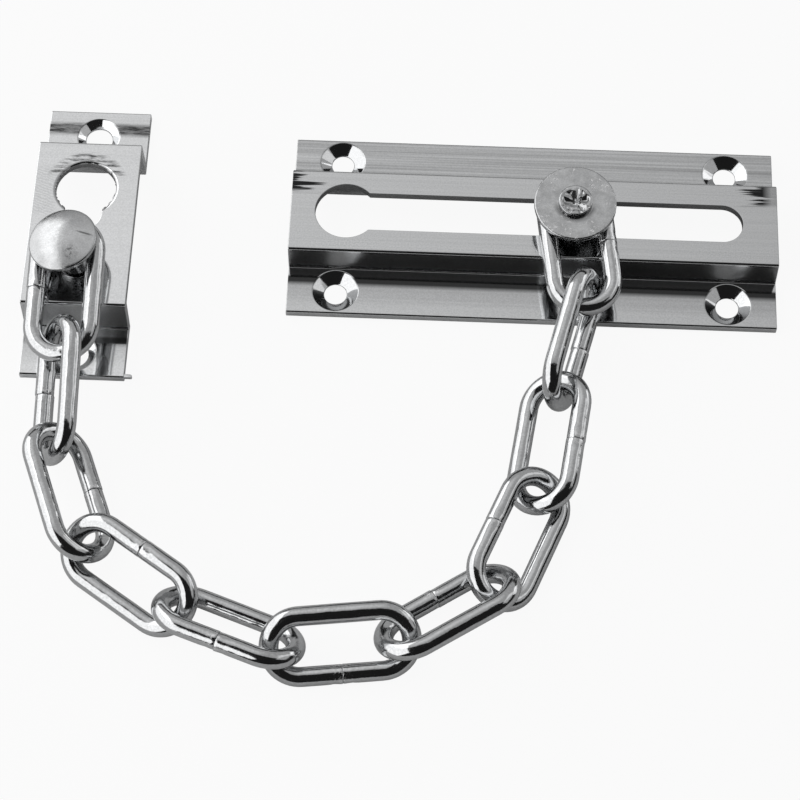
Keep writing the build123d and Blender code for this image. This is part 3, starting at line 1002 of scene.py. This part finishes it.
@listed
class DOORCHAIN_OT_sliding_stud(bpy.types.Operator):
    """Builds the sliding stud and the disc staked on it"""

    bl_idname = "doorchain.sliding_stud"
    bl_label = "Sliding stud"

    def execute(self, context):
        sizes = context.scene.doorchain_studs
        place = axis_frame(JOINTS["link_11_swivel"])
        low, top = level_span("slider_stud", place)
        metal = turned_chrome(
            context.scene.doorchain_finish, place @ Vector((0, 0, top)), sizes.tail
        )
        under, over = level_span("slider_disc", place)
        tail_low = top - sizes.tail_high
        full, flat = sizes.tail / 2, sizes.tail * 0.4
        body = [
            (0, low),
            (sizes.base / 2, low),
            (sizes.base / 2, low + sizes.base_thick),
            (sizes.neck / 2, low + sizes.base_thick),
            (sizes.neck / 2, under - sizes.gap),
            (sizes.spigot / 2, under - sizes.gap),
            (sizes.spigot / 2, tail_low),
            (full, tail_low),
            (full, top),
            (flat, top),
        ]
        soft = 0.3 * MM
        rings = rounded(body, {1: soft, 2: soft, 8: soft}, steps=4, closed=False)
        # The tail's end is divided finely, for its crushed hollow
        parts = 24
        rings += [(flat * (1 - k / parts), top) for k in range(1, parts)] + [(0, top)]

        def crush(angle, radius, height):
            """Depth of the crushed hollow in the tail: a pit left of the middle, folds round it.

            Places in it are in shares of the tail's radius.
            """
            if height < top - 0.01 * MM:
                return 0.0
            x, y = radius / full * math.cos(angle), radius / full * math.sin(angle)
            inside = eased((0.84 + 0.05 * math.sin(5 * angle) - radius / full) / 0.24)
            pit = min(max((0.65 - y) / 0.8, 0.0), 1.0) * (1 - 0.7 * eased((-0.15 - y) / 0.35))
            narrow = near(x, -0.12, 0.3)
            folds = 0.42 + 0.26 * math.sin(6 * angle + 0.9)
            spine = 0.7 * near(x, 0.2 + 0.08 * y, 0.09) * eased((y + 0.3) / 0.3)
            scallop = 0.35 * max(0.0, math.sin(9 * angle)) ** 3 * eased((-0.3 - y) / 0.3)
            hollow = inside * (narrow * pit + (1 - narrow) * folds - spine)
            return -sizes.stake_deep * (hollow + (1 - inside) * scallop)

        turned = lathe(rings, place, steps=120, push=crush)
        stud = new_piece("sliding_stud_dressed", turned, metal)
        smooth_normals(stud, angle=50)
        finish_piece(stud, "slider", "stud_chrome", "slider_stud")
        hole = sizes.spigot / 2 + sizes.gap
        ring = [(hole, under), (sizes.disc / 2, under), (sizes.disc / 2, over), (hole, over)]
        outline = rounded(ring, {0: 0.1 * MM, 1: soft, 2: soft, 3: 0.15 * MM}, steps=5)
        disc = new_piece("sliding_disc_dressed", lathe(outline, place, steps=128), metal)
        smooth_normals(disc, angle=50)
        finish_piece(disc, "slider", "stud_chrome", "slider_disc")
        return {"FINISHED"}


@listed
class DOORCHAIN_OT_domed_stud(bpy.types.Operator):
    """Builds the keep's domed stud and its washer"""

    bl_idname = "doorchain.domed_stud"
    bl_label = "Domed stud"

    def execute(self, context):
        sizes = context.scene.doorchain_studs
        place = axis_frame(JOINTS["keep_swivel"])
        low, top = level_span("keep_stud", place)
        metal = dome_chrome(context.scene.doorchain_finish, place @ Vector((0, 0, top)))
        washer_low, washer_top = level_span("keep_stud_washer", place)
        half = sizes.dome / 2
        rim = top - sizes.dome_rise
        under = rim - sizes.dome_rim
        shank = [
            (0, low),
            (sizes.rivet_tail / 2, low),
            (sizes.rivet_tail / 2, low + sizes.rivet_tail_high),
            (sizes.rivet_spigot / 2, low + sizes.rivet_tail_high),
            (sizes.rivet_spigot / 2, washer_top + sizes.gap),
            (sizes.dome_neck / 2, washer_top + sizes.gap),
            (sizes.dome_neck / 2, under),
            (half, under),
            (half, rim),
        ]
        # The dome is a cap of a ball
        ball = (half**2 + sizes.dome_rise**2) / 2 / sizes.dome_rise
        wide = math.asin(half / ball)
        parts = 12
        for k in range(parts - 1, 0, -1):
            a = wide * k / parts
            shank.append((ball * math.sin(a), top - ball * (1 - math.cos(a))))
        shank.append((0, top))
        soft = {1: 0.25 * MM, 7: 0.25 * MM, 8: 0.35 * MM}
        rings = rounded(shank, soft, steps=5, closed=False)

        def skew(angle, radius, height):
            """Lift of the dome, which was pressed a little askew to its rim."""
            if height < rim:
                return 0.0
            inside = max(0.0, 1 - (2 * radius / sizes.dome) ** 2)
            return -sizes.dome_skew * 2 * radius / sizes.dome * math.cos(angle) * inside

        pressed = lathe(rings, place, steps=128, push=skew)
        stud = new_piece("domed_stud_dressed", pressed, metal)
        smooth_normals(stud, angle=60)
        finish_piece(stud, "keep", "stud_chrome", "keep_stud")
        hole, outer = sizes.rivet_spigot / 2 + sizes.gap, sizes.washer / 2
        ring = [(hole, washer_low), (outer, washer_low), (outer, washer_top), (hole, washer_top)]
        outline = rounded(ring, dict.fromkeys(range(4), 0.12 * MM), steps=4)
        washer = new_piece("stud_washer_dressed", lathe(outline, place), metal)
        smooth_normals(washer, angle=50)
        finish_piece(washer, "keep", "stud_chrome", "keep_stud_washer")
        return {"FINISHED"}


def table_white(colour, seen_white=0.93, mirrored_white=0.05):
    """Matt white table board: plain and pale, white to the camera with the soft shadows kept."""
    material, tree = new_material("matt_white_board")
    board = add_node(tree, "BsdfDiffuse", {"Color": colour})
    bright = add_node(tree, "Emission", {"Color": WHITE, "Strength": 1.0})
    ray = add_node(tree, "LightPath").outputs
    mirrored = add_node(
        tree,
        "Math",
        links={0: ray["Is Glossy Ray"], 1: ray["Is Transmission Ray"]},
        operation="ADD",
        use_clamp=True,
    )
    dim = add_node(tree, "Math", {1: mirrored_white}, {0: mirrored}, operation="MULTIPLY")
    seen = {0: ray["Is Camera Ray"], 2: dim}
    share = add_node(tree, "Math", {1: seen_white}, seen, operation="MULTIPLY_ADD")
    mixed = add_node(tree, "MixShader", links={0: share, 1: board, 2: bright})
    add_node(tree, "OutputMaterial", links={"Surface": mixed})
    return material


@listed
class DOORCHAIN_OT_stage(bpy.types.Operator):
    """Builds the pale table, the soft lamps and the camera"""

    bl_idname = "doorchain.stage"
    bl_label = "Stage"

    def execute(self, context):
        scene = context.scene
        stage = scene.doorchain_stage
        bm = bmesh.new()
        bmesh.ops.create_grid(bm, x_segments=1, y_segments=1, size=3.0)
        floor = new_piece("table", bm, table_white(scene.doorchain_finish.floor))
        # The table lies a hair under the plates' back faces
        floor.location.z = -0.02 * MM
        # Soft boxes: name, compass turn from the rear to the right and height in degrees, distance,
        # width, height, brightness of the box, and its spread in degrees; each one faces the object
        boxes = [
            ("soft_box_rear", 8.0, 53.0, 0.8, 2.1, 1.34, 0.45, 180.0),
            ("soft_box_high", -22.0, 58.0, 0.8, 0.9, 0.9, 0.042, 60.0),
            ("soft_box_left", -93.5, 30.0, 0.45, 1.23, 0.5, 1.55, 180.0),
            ("soft_box_right", 62.0, 11.0, 0.72, 0.42, 0.3, 1.1, 180.0),
            ("soft_box_right_high", 85.0, 35.0, 0.72, 0.6, 0.32, 0.5, 180.0),
        ]
        aim = Vector(stage.aim)
        for name, turn, rise, away, wide, high, bright, spread in boxes:
            lamp = bpy.data.lights.new(name, "AREA")
            lamp.shape = "RECTANGLE"
            lamp.size, lamp.size_y = wide, high
            # A box of this power has this brightness: power over pi times its area
            lamp.energy = bright * math.pi * wide * high
            lamp.spread = math.radians(spread)
            holder = bpy.data.objects.new(name, lamp)
            scene.collection.objects.link(holder)
            turn, rise = math.radians(turn), math.radians(rise)
            level = math.cos(rise)
            way = Vector((math.sin(turn) * level, math.cos(turn) * level, math.sin(rise)))
            holder.location = aim + way * away
            holder.rotation_mode = "QUATERNION"
            holder.rotation_quaternion = (-way).to_track_quat("-Z", "Y")
            holder.visible_camera = False
        world = bpy.data.worlds.new("dim_room")
        scene.world = world
        world.use_nodes = True
        tree = world.node_tree
        tree.nodes.clear()
        room = add_node(tree, "Background", {"Color": WHITE, "Strength": stage.around})
        backdrop = add_node(tree, "Background", {"Color": WHITE, "Strength": 1.0})
        ray = add_node(tree, "LightPath").outputs
        seen = add_node(tree, "MixShader", links={0: ray["Is Camera Ray"], 1: room, 2: backdrop})
        add_node(tree, "OutputWorld", links={"Surface": seen})
        camera = bpy.data.objects.new("camera", bpy.data.cameras.new("camera"))
        scene.collection.objects.link(camera)
        camera.location = stage.eye
        camera.rotation_mode = "QUATERNION"
        camera.rotation_quaternion = (aim - Vector(stage.eye)).to_track_quat("-Z", "Y")
        camera.data.sensor_width = 36.0
        camera.data.lens = stage.lens
        camera.data.clip_start = 0.01
        scene.camera = camera
        scene.view_settings.view_transform = "Standard"
        return {"FINISHED"}


@listed
class DOORCHAIN_PT_panel(bpy.types.Panel):
    """Lists the pieces of the door chain"""

    bl_idname = "DOORCHAIN_PT_panel"
    bl_label = "Door chain"
    bl_space_type = "VIEW_3D"
    bl_region_type = "UI"
    bl_category = "Door chain"

    def draw(self, context):
        for operator in OPERATORS:
            self.layout.operator(operator.bl_idname)


OPERATORS = (
    DOORCHAIN_OT_slide_plate,
    DOORCHAIN_OT_keep_plate,
    DOORCHAIN_OT_sliding_stud,
    DOORCHAIN_OT_links,
    DOORCHAIN_OT_domed_stud,
    DOORCHAIN_OT_stage,
)
SETTINGS = {
    "doorchain_links": DOORCHAIN_PG_links,
    "doorchain_plates": DOORCHAIN_PG_plates,
    "doorchain_studs": DOORCHAIN_PG_studs,
    "doorchain_finish": DOORCHAIN_PG_finish,
    "doorchain_stage": DOORCHAIN_PG_stage,
}


def register():
    for cls in CLASSES:
        bpy.utils.register_class(cls)
    for name, group in SETTINGS.items():
        setattr(bpy.types.Scene, name, PointerProperty(type=group))


def unregister():
    for name in SETTINGS:
        delattr(bpy.types.Scene, name)
    for cls in reversed(CLASSES):
        bpy.utils.unregister_class(cls)


def main():
    register()
    bpy.ops.doorchain.slide_plate()
    bpy.ops.doorchain.keep_plate()
    bpy.ops.doorchain.sliding_stud()
    bpy.ops.doorchain.links()
    bpy.ops.doorchain.domed_stud()
    bpy.ops.doorchain.stage()


if __name__ == "__main__":
    main()
